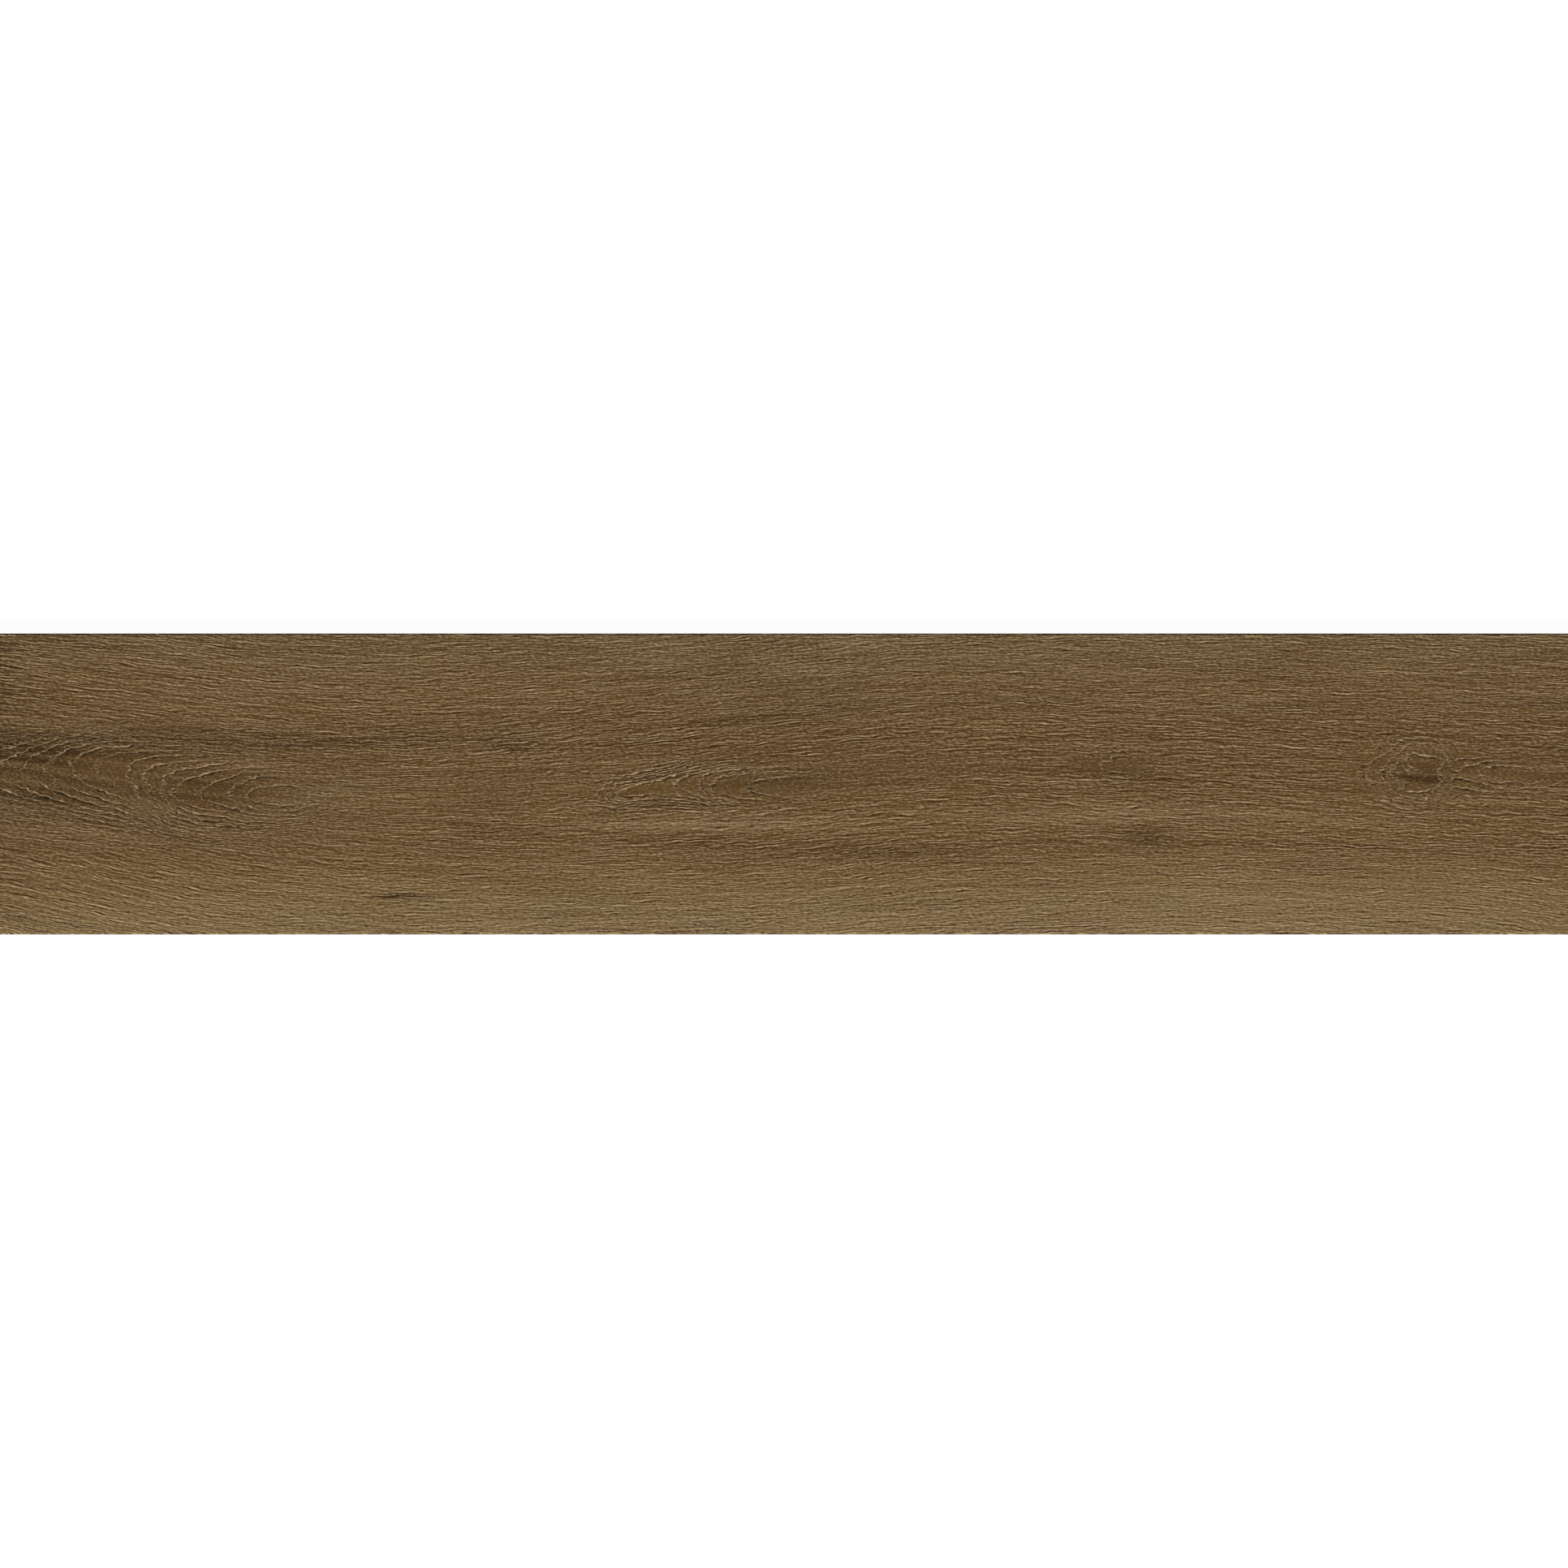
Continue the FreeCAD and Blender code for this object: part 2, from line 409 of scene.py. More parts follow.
@dataclass(frozen=True)
class GrainField:
    """Rings of a sawn oak board as a function of the place on the face.

    Args:
        ring_pitch: rise of the ring value from one ring line to the next.
        shift_reach: how far from the board's middle the levels bend with the heart line.
        fall_power: how suddenly the arches end at their reach.
        slowest_pace: least pace, which limits how wide a ring line grows.
        line_reach: half a ring line's width where it crosses the plank, and where it runs along it.
        line_floor: least spread.
        steep_sine: sines of the angles at which a ring starts to be steep, and is wholly so.
        most_lean: steepest slope of the short dashes.
        nest_pace: pace next to the level's, up to which rings lie far apart, and from which they crowd.
        groove_depth: depth of the trough along a ring, which is groove_half_width on each side.
        pore_depth: depth of the pores between the rings.
        sway, flutter, crumple: height of the slow waves, the quick waves and the creases round an eye.
        clearness: how clearly a ring line shows on average, and how far that swings.
        crowded_share: how much of it is left where the rings crowd.
        steady_share: how much of a trough's depth stays the same along it.
    """

    ring_pitch: float = 7.0
    shift_reach: float = 45.0
    fall_power: float = 3.0
    slowest_pace: float = 0.25
    line_reach: tuple[float, float] = (2.6, 0.8)
    line_floor: float = 0.8
    steep_sine: tuple[float, float] = (0.35, 0.75)
    most_lean: float = 0.3
    nest_pace: tuple[float, float] = (0.45, 1.7)
    groove_depth: float = 0.14
    groove_half_width: float = 1.3
    pore_depth: float = 0.06
    sway: float = 1.1
    flutter: float = 0.7
    crumple: float = 2.6
    clearness: tuple[float, float] = (1.1, 0.7)
    crowded_share: float = 0.7
    steady_share: float = 0.7
    slow_waves: Drift = Drift(130, 11, 1)
    quick_waves: Drift = Drift(30, 5, 2)
    breaks: Drift = Drift(22, 1, 3)
    pores: Drift = Drift(14, 3.4, 4)
    chips: Drift = Drift(5, 2.2, 5)
    creases: Drift = Drift(8, 6, 6)

    def at(self, along: np.ndarray, across: np.ndarray) -> Grain:
        """The ring value is sqrt(d^2 + b^2) - (b + rings) * exp(-(d / reach)^3), less a bump for each eye.

        Here d is the height above the heart line and b the bluntness, so that a ring line is an arch
        round the heart which flattens into a level line beyond the reach. Slow waves are added to it.
        A bump is exp(-q^3) high, where q is the distance from the eye in its half length and width. The
        rings are crumpled round an eye.

        Args:
            along: places along the plank, one row for each step along it.
            across: places across it.

        Returns:
            The grain at each place.
        """
        places = np.array([station.along for station in HEART], float)

        def station_curve(name: str) -> np.ndarray:
            """One field of the heart stations, eased along the plank."""
            values = np.array([getattr(station, name) for station in HEART], float)
            return eased(along, places, values)

        level = self.level(along, across)
        heart_level = self.level(along, station_curve("across"))
        height = level - heart_level * np.exp(-((level / self.shift_reach) ** 2))
        blunt = station_curve("bluntness")
        reach = np.where(height > 0, station_curve("reach_up"), station_curve("reach_down"))
        opened = blunt + self.ring_pitch * station_curve("rings")
        fall = np.exp(-(np.abs(height / reach) ** self.fall_power))
        rise = np.sqrt(height ** 2 + blunt ** 2) - opened * fall
        for eye in EYES:
            off_along = (along - eye.along) / eye.half_length
            off_across = (across - eye.across) / eye.half_width
            distance = np.hypot(off_along, off_across)
            creases = self.creases.at(along, across) * np.exp(-(distance ** 2) / 2)
            rise = rise - eye.rise * np.exp(-(distance ** 3)) + self.crumple * creases
        rise = rise + self.sway * self.slow_waves.at(along, across)
        rise = rise + self.flutter * self.quick_waves.at(along, across)

        rate_along, rate_across = np.gradient(rise, along[:, 0], across[0])
        tiny = 1e-6
        rate = np.maximum(np.hypot(rate_along, rate_across), tiny)
        line_along, line_across = self.line_reach
        spread = np.hypot(line_along * rate_along, line_across * rate_across)
        lean = -2 * self.most_lean * rate_along * rate_across / rate ** 2
        start, full = self.steep_sine
        steep = np.clip((np.abs(rate_along) / rate - start) / (full - start), 0, 1)
        pace = np.maximum(rate, self.slowest_pace)
        level_pace = np.hypot(*np.gradient(level, along[:, 0], across[0]))
        start, full = self.nest_pace
        nest = 1 - np.clip((rate / level_pace - start) / (full - start), 0, 1)
        spread = np.maximum(spread, self.line_floor)
        return Grain(level, level_pace, rise, height, pace, spread, lean, steep, nest)

    def level(self, along: np.ndarray, across: np.ndarray) -> np.ndarray:
        """Place across the board less the drift of the fibres, which is blended between their rows.

        Args:
            along: places along the plank.
            across: places across it.

        Returns:
            The level of each place.
        """
        curves = [eased(along, *np.array(row.drifts, float).T) for row in FIBRES]
        drift = curves[0]
        for number in range(1, len(FIBRES)):
            start, stop = FIBRES[number - 1].across, FIBRES[number].across
            part = np.clip((across - start) / (stop - start), 0, 1)
            drift = drift + (curves[number] - curves[number - 1]) * part
        return across - drift

    def strength(self, along: np.ndarray, grain: Grain, shown: np.ndarray) -> np.ndarray:
        """How clearly the nearest ring line shows. It comes and goes along the ring.

        Each side of each ring has its own row of the noise.

        Args:
            along: places along the plank.
            grain: the grain there.
            shown: how much of the rings' figure the patches show.

        Returns:
            A value from 0 to 1 for each place.
        """
        ring = np.round(grain.rise / self.ring_pitch)
        side = np.sign(grain.height)
        middle_row, rows_to_ring, rows_to_side = 300, 3, 101
        broken = self.breaks.at(along, middle_row + rows_to_ring * ring + rows_to_side * side)
        mean, swing = self.clearness
        crowded = self.crowded_share + (1 - self.crowded_share) * grain.nest
        return np.clip(shown * (mean + swing * broken), 0, 1) * crowded

    def relief(self, along: np.ndarray, grain: Grain, strength: np.ndarray) -> np.ndarray:
        """How deep the face is pressed in: a rounded trough along each ring, and shallow pores between.

        A trough is exp(-(distance / half width)^2) deep.

        Args:
            along: places along the plank.
            grain: the grain there.
            strength: how clearly the nearest ring line shows.

        Returns:
            The depth in millimetres.
        """
        ring = np.round(grain.rise / self.ring_pitch)
        distance = (grain.rise - ring * self.ring_pitch) / grain.pace
        uneven = self.steady_share + (1 - self.steady_share) * self.chips.at(along, grain.rise)
        trough = strength * uneven * np.exp(-((distance / self.groove_half_width) ** 2))
        pores = np.clip(self.pores.at(along, grain.level), 0, 1)
        return self.groove_depth * trough + self.pore_depth * pores


def patch_marks(along: np.ndarray, across: np.ndarray) -> np.ndarray:
    """Sum of the patches of each mark, between -1 and 1, as one value of each mark for each place."""
    marks = np.zeros((*along.shape, len(Mark)))
    for mark, rows in PATCHES.items():
        for row in rows:
            marks[..., mark.value] += Patch(*row).weight(along, across)
    return np.clip(marks, -1, 1)


@dataclass(frozen=True)
class MeshParts:
    """Vertices and faces that go into one mesh, with the surface of each face."""

    points: np.ndarray
    faces: list[list[int]]
    surfaces: np.ndarray


class PlankTile:
    """The tile as one closed mesh: the CAD's back and outline, with a face that carries the grain."""

    cells_along = 384
    cells_across = 230
    merge_distance = 1e-6
    touch = 0.01
    bevel_darkening = 1.2

    def __init__(self, node: bpy.types.Object, grain_field: GrainField) -> None:
        """Reads the tile's edges from a merged copy of the CAD node.

        Args:
            node: the CAD node's object.
            grain_field: the grain that the face carries.
        """
        self.grain_field = grain_field
        self.copy = self.merged_copy(node)
        points = self.copy.points
        self.low, self.high = points.min(0), points.max(0)
        self.face_half = self.half_sizes_at(self.high[2])
        self.back_half = self.half_sizes_at(self.low[2])
        outermost = points[np.abs(points[:, 0]) > self.high[0] - self.touch, 2]
        self.wall_foot, self.wall_head = outermost.min(), outermost.max()

    def merged_copy(self, node: bpy.types.Object) -> MeshParts:
        """The CAD node's mesh in millimetres with its doubles merged, from a copy of it."""
        shell = bmesh.new()
        shell.from_mesh(node.data)
        bmesh.ops.remove_doubles(shell, verts=shell.verts, dist=self.merge_distance)
        shell.verts.index_update()
        points = np.array([vertex.co for vertex in shell.verts]) * METRE
        faces = [[vertex.index for vertex in face.verts] for face in shell.faces]
        shell.free()
        return MeshParts(points, faces, np.full(len(faces), Surface.BACK.value))

    def half_sizes_at(self, level: float) -> np.ndarray:
        """Half the length and half the width of the flat that lies at that level."""
        points = self.copy.points
        return np.abs(points[np.abs(points[:, 2] - level) < self.touch, :2]).max(0)

    def back(self) -> MeshParts:
        """The back plate with the walls and floors of its recesses, as the CAD has them."""
        points = self.copy.points
        inside = (np.abs(points[:, :2]) < self.back_half + self.touch).all(1)
        inside &= points[:, 2] < self.wall_head
        faces = [face for face in self.copy.faces if inside[face].all()]
        used = np.unique(np.concatenate(faces))
        place = np.full(len(points), -1)
        place[used] = np.arange(len(used))
        faces = [[int(place[index]) for index in face] for face in faces]
        return MeshParts(points[used], faces, np.full(len(faces), Surface.BACK.value))

    def face_grid(self) -> tuple[np.ndarray, dict[str, np.ndarray]]:
        """The face as a function of two parameters, the steps along and across it.

        The face is lowered by the relief. A point on the rim slides down the 45 degree bevel, so it
        moves out by as much as it is lowered.

        Returns:
            The grid's points, and the attributes that the print reads on them, by name.
        """
        half_length, half_width = self.face_half
        steps_along = np.linspace(-half_length, half_length, self.cells_along + 1)
        steps_across = np.linspace(-half_width, half_width, self.cells_across + 1)
        along, across = np.meshgrid(steps_along, steps_across, indexing="ij")
        grain = self.grain_field.at(along, across)
        marks = patch_marks(along, across)
        shown = marks[..., Mark.RINGS.value]
        strength = self.grain_field.strength(along, grain, shown)
        relief = self.grain_field.relief(along, grain, strength)
        relief = relief - relief.min()
        points = np.stack([along, across, self.high[2] - relief], axis=-1)
        points[0, :, 0] -= relief[0]
        points[-1, :, 0] += relief[-1]
        points[:, 0, 1] -= relief[:, 0]
        points[:, -1, 1] += relief[:, -1]
        attributes = {
            "grain": np.stack([grain.rise, grain.height, grain.pace], axis=-1),
            "flow": np.stack([grain.spread, grain.lean, grain.steep], axis=-1),
            "marks": marks[..., :Mark.RINGS.value],
            "figure": np.stack([strength, grain.nest * shown, (1 - grain.nest) * shown], axis=-1),
            "fibres": np.stack([grain.level, grain.level_pace], axis=-1),
        }
        return points, attributes

    def corners(self, half: np.ndarray, level: float) -> np.ndarray:
        """Four corners of a level rectangle, in turn from the front left one, seen from above."""
        signs = np.array([(-1, -1), (1, -1), (1, 1), (-1, 1)])
        return np.column_stack([signs * half, np.full(4, level)])

    def build(self) -> bpy.types.Object:
        """Joins the face, bevel, walls, arris and back into one mesh and names their surfaces.

        Returns:
            The tile's object, which stands for the CAD node.
        """
        grid, attributes = self.face_grid()
        back = self.back()
        rows, columns = grid.shape[:2]
        number = np.arange(rows * columns).reshape(rows, columns)
        cells = [number[:-1, :-1], number[1:, :-1], number[1:, 1:], number[:-1, 1:]]
        face_cells = np.stack(cells, axis=-1).reshape(-1, 4)

        sides = (number[:-1, 0], number[-1, :-1], number[:0:-1, -1], number[0, :0:-1])
        rim = np.concatenate(sides)
        flat_points = grid.reshape(-1, 3)
        head = self.wall_points(flat_points[rim], [len(side) for side in sides])
        head_at = len(flat_points) + np.arange(len(rim))
        after = np.roll(head_at, -1)
        bevel = np.column_stack([head_at, after, np.roll(rim, -1), rim])

        foot = self.corners(self.high[:2], self.wall_foot)
        foot_at = head_at[-1] + 1 + np.arange(4)
        back_at = foot_at[-1] + 1
        walls = self.wall_fans(head_at, foot_at, [len(side) for side in sides])
        arris = self.arris(foot_at, back, back_at)

        points = np.concatenate([flat_points, head, foot, back.points])
        printed = [*face_cells.tolist(), *bevel.tolist()]
        ground = [*walls, *arris]
        faces = [*printed, *ground]
        faces.extend([index + back_at for index in face] for face in back.faces)
        kinds = np.repeat(
            [Surface.PRINT.value, Surface.GROUND.value, Surface.BACK.value],
            [len(printed), len(ground), len(back.faces)],
        )
        tile = self.as_object(MeshParts(points, faces, kinds), len(face_cells))
        for name, values in attributes.items():
            values = values.reshape(len(flat_points), -1)
            head_values = values[rim]
            # The bevel's print is made darker from the rim down to the wall head.
            if name == "marks":
                head_values[:, Mark.TONE.value] = self.bevel_darkening
            self.add_attribute(tile.data, name, np.concatenate([values, head_values]))
        return tile

    def wall_points(self, rim: np.ndarray, counts: list[int]) -> np.ndarray:
        """Points at the head of the walls, below the bevel, one for each point of the face's rim.

        Args:
            rim: the rim's points, in turn from the front left corner.
            counts: how many of them belong to each side.
        """
        head = rim.copy()
        head[:, 2] = self.wall_head
        first = np.concatenate([[0], np.cumsum(counts)])
        for side, (axis, value) in enumerate(((1, -1), (0, 1), (1, 1), (0, -1))):
            head[first[side]:first[side + 1], axis] = value * self.high[axis]
        head[first[:-1]] = self.corners(self.high[:2], self.wall_head)
        return head

    def wall_fans(self, head_at: np.ndarray, foot_at: np.ndarray, counts: list[int]) -> list[list[int]]:
        """Triangles of the four walls. Half of each wall's head fans to one foot corner, half to the other.

        Args:
            head_at: numbers of the points along the walls' head.
            foot_at: numbers of the four corners at their foot.
            counts: how many head points belong to each wall.
        """
        faces = []
        start = 0
        for side, count in enumerate(counts):
            run = np.take(head_at, np.arange(start, start + count + 1), mode="wrap")
            near, far = foot_at[side], foot_at[(side + 1) % 4]
            middle = count // 2
            feet = np.where(np.arange(count) < middle, near, far)
            faces.extend(np.column_stack([feet, run[1:], run[:-1]]).tolist())
            faces.append([int(near), int(far), int(run[middle])])
            start += count
        return faces

    def arris(self, foot_at: np.ndarray, back: MeshParts, back_at: int) -> list[list[int]]:
        """The ground arris between the walls and the back plate, one face for each side.

        Args:
            foot_at: numbers of the four corners at the walls' foot.
            back: the back, which has the corners of its plate.
            back_at: number of the back's first point in the mesh.
        """
        corners = self.corners(self.back_half, self.low[2])
        gaps = np.linalg.norm(back.points[None] - corners[:, None], axis=-1)
        if gaps.min(1).max() > self.touch:
            raise RuntimeError("the back plate has no point at one of its corners")
        plate_at = back_at + gaps.argmin(1)
        return [
            [int(plate_at[side]), int(plate_at[side - 3]), int(foot_at[side - 3]), int(foot_at[side])]
            for side in range(4)
        ]

    def as_object(self, parts: MeshParts, smooth: int) -> bpy.types.Object:
        """Blender object of the parts.

        Args:
            parts: the mesh's points and faces.
            smooth: how many faces, from the first, are shaded smooth. They are the printed face's.

        Returns:
            The object, linked to the scene.
        """
        mesh = bpy.data.meshes.new("plank_tile_dressed")
        mesh.from_pydata(parts.points / METRE, [], parts.faces)
        mesh.polygons.foreach_set("material_index", parts.surfaces.astype(np.int32))
        mesh.polygons.foreach_set("use_smooth", np.arange(len(parts.faces)) < smooth)
        mesh.update()
        if mesh.validate():
            raise RuntimeError("the tile's mesh has faces that Blender had to mend")
        tile = bpy.data.objects.new(mesh.name, mesh)
        bpy.context.scene.collection.objects.link(tile)
        return tile

    def add_attribute(self, mesh: bpy.types.Mesh, name: str, values: np.ndarray) -> None:
        """Gives the mesh's first points an attribute, and the rest zeros.

        Args:
            mesh: the tile's mesh.
            name: the attribute's name.
            values: two or three values for each point.
        """
        padded = np.zeros((len(mesh.vertices), 3))
        padded[:len(values), :values.shape[1]] = values
        mesh.attributes.new(name, "FLOAT_VECTOR", "POINT").data.foreach_set("vector", padded.ravel())


def paint(red: int, green: int, blue: int) -> tuple[float, float, float, float]:
    """Linear colour, opaque, from its three values between 0 and 255 as a screen shows them."""
    screen = np.array([red, green, blue]) / 255
    linear = np.where(screen <= 0.04045, screen / 12.92, ((screen + 0.055) / 1.055) ** 2.4)
    return (*linear.tolist(), 1.0)


def operator(operation: str, reflected: bool = False) -> Callable[..., Signal]:
    """A method of Signal that adds one Math node. In the reflected form the signal comes last."""

    def method(self: Signal, *others: Signal | float) -> Signal:
        """Result of the operation on the signal and what stands beside it."""
        values = (*others, self) if reflected else (self, *others)
        return self.bench.math(operation, *values)

    return method


class Signal:
    """A shader socket on which arithmetic is written as in Python."""

    def __init__(self, bench: Bench, socket: bpy.types.NodeSocket) -> None:
        """Keeps the socket and the bench whose material it belongs to."""
        self.bench = bench
        self.socket = socket

    __add__ = __radd__ = operator("ADD")
    __mul__ = __rmul__ = operator("MULTIPLY")
    __sub__ = operator("SUBTRACT")
    __rsub__ = operator("SUBTRACT", reflected=True)
    __truediv__ = operator("DIVIDE")
    __rtruediv__ = operator("DIVIDE", reflected=True)
    __abs__ = operator("ABSOLUTE")
    sign = operator("SIGN")
    nearest_whole = operator("ROUND")
    at_least = operator("MAXIMUM")

    def ramp(self, low: float, high: float) -> Signal:
        """Zero below the first value, one above the second, and a smooth step between."""
        settings = {"interpolation_type": "SMOOTHSTEP", "clamp": True}
        sockets = {"Value": self, "From Min": low, "From Max": high}
        return self.bench.node("ShaderNodeMapRange", "Result", settings, sockets)

    def fall(self, low: float, high: float) -> Signal:
        """One below the first value and zero above the second."""
        return 1 - self.ramp(low, high)


class Bench:
    """Where a material is made: its node tree, with one method that adds any node."""

    def __init__(self, name: str) -> None:
        """Starts a material with nothing but its output.

        Args:
            name: the material's name.
        """
        self.material = bpy.data.materials.new(name)
        self.material.use_nodes = True
        self.tree = self.material.node_tree
        self.tree.nodes.clear()

    def node(self, kind: str, output: str, settings: dict, sockets: dict) -> Signal:
        """Adds a node.

        Args:
            kind: the node's type.
            output: the name of the output that is wanted.
            settings: the node's own settings, which are set first.
            sockets: for each input, by name or number, its value or the signal that feeds it.

        Returns:
            The wanted output.
        """
        made = self.tree.nodes.new(kind)
        for name, value in settings.items():
            setattr(made, name, value)
        for name, value in sockets.items():
            target = made.inputs[name]
            if isinstance(value, Signal):
                self.tree.links.new(value.socket, target)
            else:
                target.default_value = value
        outputs = [socket for socket in made.outputs if socket.name == output and socket.enabled]
        return Signal(self, outputs[0])

    def math(self, operation: str, *values: Signal | float) -> Signal:
        """One Math node."""
        return self.node("ShaderNodeMath", "Value", {"operation": operation}, dict(enumerate(values)))

    def join(self, x: Signal | float, y: Signal | float, z: Signal | float = 0.0) -> Signal:
        """A vector from its three parts."""
        return self.node("ShaderNodeCombineXYZ", "Vector", {}, {"X": x, "Y": y, "Z": z})

    def parts(self, vector: Signal) -> tuple[Signal, Signal, Signal]:
        """The three parts of a vector."""
        first = self.node("ShaderNodeSeparateXYZ", "X", {}, {"Vector": vector})
        outputs = first.socket.node.outputs
        return first, Signal(self, outputs["Y"]), Signal(self, outputs["Z"])

    def attribute(self, name: str) -> tuple[Signal, Signal, Signal]:
        """The three values of one of the piece's own attributes."""
        return self.parts(self.node("ShaderNodeAttribute", "Vector", {"attribute_name": name}, {}))

    def place(self) -> tuple[Signal, Signal, Signal]:
        """Object coordinates in millimetres."""
        local = self.node("ShaderNodeTexCoord", "Object", {}, {})
        settings = {"operation": "SCALE"}
        return self.parts(self.node("ShaderNodeVectorMath", "Vector", settings, {0: local, "Scale": METRE}))

    def noise(self, spot: Signal, detail: float = 1.0, roughness: float = 0.5) -> Signal:
        """Noise of about 0 to 1, with a lump for each unit of the spot's space."""
        sockets = {"Vector": spot, "Scale": 1.0, "Detail": detail, "Roughness": roughness}
        return self.node("ShaderNodeTexNoise", "Fac", {}, sockets)

    def ripple(self, x: Signal, y: Signal, detail: float = 0.0) -> Signal:
        """Noise in a plane, of about -0.5 to 0.5, with a lump for each unit of x and of y.

        Each row of lumps starts a little further along x than the last, so that no columns show.
        """
        row_shift = 0.31
        spot = self.join(x + y * row_shift, y)
        sockets = {"Vector": spot, "Scale": 1.0, "Detail": detail, "Roughness": 0.5}
        return self.node("ShaderNodeTexNoise", "Fac", {"noise_dimensions": "2D"}, sockets) - 0.5

    def painted_emboss_shading(self, x: Signal, y: Signal) -> Signal:
        """A ripple less the same ripple a little further along y: painted emboss shading, so that each lump
        has a painted highlight on one side and painted shade on the other.
        """
        step = 0.4
        return self.ripple(x, y + step) - self.ripple(x, y - step)

    def blend(self, first: Signal | tuple, second: Signal | tuple, share: Signal | float) -> Signal:
        """Colour between two colours."""
        settings = {"data_type": "RGBA", "clamp_factor": True}
        return self.node("ShaderNodeMix", "Result", settings, {0: share, 6: first, 7: second})

    def colour_steps(self, value: Signal, stops: tuple) -> Signal:
        """Colour ramp through the stops, each of which is a place from 0 to 1 and a colour."""
        result = self.node("ShaderNodeValToRGB", "Color", {}, {"Fac": value})
        ramp = result.socket.node.color_ramp
        while len(ramp.elements) < len(stops):
            ramp.elements.new(1.0)
        for element, (position, colour) in zip(ramp.elements, stops):
            element.position = position
            element.color = colour
        return result

    def finish(
        self, colour: Signal, roughness: Signal | float, height: Signal, specular: float
    ) -> bpy.types.Material:
        """Ends the material with its shader.

        Args:
            colour: base colour.
            roughness: roughness.
            height: relief in millimetres, for the bump.
            specular: specular level, the same all over.

        Returns:
            The finished material.
        """
        bump_sockets = {"Height": height, "Distance": 1 / METRE, "Strength": 1.0}
        normal = self.node("ShaderNodeBump", "Normal", {}, bump_sockets)
        sockets = {
            "Base Color": colour,
            "Roughness": roughness,
            "Normal": normal,
            "Specular IOR Level": specular,
        }
        shader = self.node("ShaderNodeBsdfPrincipled", "BSDF", {}, sockets)
        output = self.tree.nodes.new("ShaderNodeOutputMaterial")
        self.tree.links.new(shader.socket, output.inputs["Surface"])
        return self.material


@dataclass(frozen=True)
class Lump:
    """Length and width of a noise's lumps in millimetres, and where in the noise the face starts."""

    length: float
    width: float
    start_along: float = 0.0
    start_across: float = 0.0
    layer: float = 0.0

    def at(self, along: Signal, across: Signal) -> tuple[Signal, Signal]:
        """Place in a noise whose lumps are one unit long and wide."""
        return along / self.length + self.start_along, across / self.width + self.start_across

    def in_layer(self, bench: Bench, along: Signal, across: Signal) -> Signal:
        """The same place as a vector, in the lump's layer of the noise."""
        return bench.join(*self.at(along, across), self.layer)


@dataclass(frozen=True)
class Stroke:
    """A line beside a ring: how far off it runs, and where it starts to fade and where it is gone."""

    offset: float
    full: float
    gone: float

    def draw(self, distance: Signal) -> Signal:
        """How much a place at that distance from the ring lies in the line."""
        return abs(distance - self.offset).fall(self.full, self.gone)


@dataclass(frozen=True)
class Dash:
    """Short dashes with a pale painted highlight on their upper side, one in each cell of a Voronoi pattern.

    Args:
        length: length of a cell. The dash's ends fade from a quarter to half of it on each side.
        width: width of a cell.
        half_thickness: half the thickness of the dash.
        start: how far the pattern is moved along.
    """

    length: float
    width: float
    half_thickness: float
    start: float = 0.0

    def draw(
        self, bench: Bench, along: Signal, across: Signal, unit: Signal | float, lean: Signal | float
    ) -> tuple[Signal, Signal]:
        """Adds the pattern.

        Args:
            bench: where the material is made.
            along: place along the plank.
            across: place across it, or the value that is constant along a dash.
            unit: how many millimetres of the face a unit of that value takes.
            lean: slope of the dashes.

        Returns:
            How much a place is in a dash, and how much it is in the painted highlight on its upper side.
        """
        cell_along, cell_across = (along + self.start) / self.length, across / self.width
        sockets = {"Vector": bench.join(cell_along, cell_across), "Scale": 1.0, "Randomness": 0.95}
        settings = {"voronoi_dimensions": "2D"}
        centre = bench.node("ShaderNodeTexVoronoi", "Position", settings, sockets)
        centre_along, centre_across, _ = bench.parts(centre)
        off_along = cell_along - centre_along
        off_across = (cell_across - centre_across) * unit * self.width - off_along * lean * self.length
        length_mask = abs(off_along).fall(0.25, 0.5)
        full, gone, lip_and_highlight_at = 0.4 * self.half_thickness, 1.4 * self.half_thickness, 2.2 * self.half_thickness
        core = length_mask * Stroke(0.0, full, gone).draw(off_across)
        lip_and_painted_highlight = length_mask * Stroke(lip_and_highlight_at, full, gone).draw(off_across)
        return core, lip_and_painted_highlight


class Strands:
    """Noises drawn out along the lines on which a value is constant, as wide where it changes fast."""

    layer_step = 31.3

    def __init__(self, bench: Bench, along: Signal, value: Signal, pace: Signal) -> None:
        """Divides the value by the power of two that lies next below its pace.

        Args:
            bench: where the material is made.
            along: place along the plank.
            value: what is constant along a strand.
            pace: how fast it changes.
        """
        self.bench = bench
        self.along = along
        octave = bench.math("FLOOR", bench.math("LOGARITHM", pace, 2.0))
        divisor = bench.math("POWER", 2.0, octave)
        self.even = value / divisor
        self.part = pace / divisor - 1
        self.layer = octave * self.layer_step
        self.rest = 1 - self.part
        self.gain = 1 / bench.math("SQRT", self.part * self.part + self.rest * self.rest)

    def noise(self, lump: Lump) -> Signal:
        """Strands as large as the lump, drawn with painted emboss shading, blended from those for the powers
        of two beside the pace.
        """
        along = self.along / lump.length + self.layer
        near = self.bench.painted_emboss_shading(along, self.even / lump.width)
        far = self.bench.painted_emboss_shading(along + self.layer_step, self.even / (2 * lump.width))
        return (near * self.rest + far * self.part) * self.gain


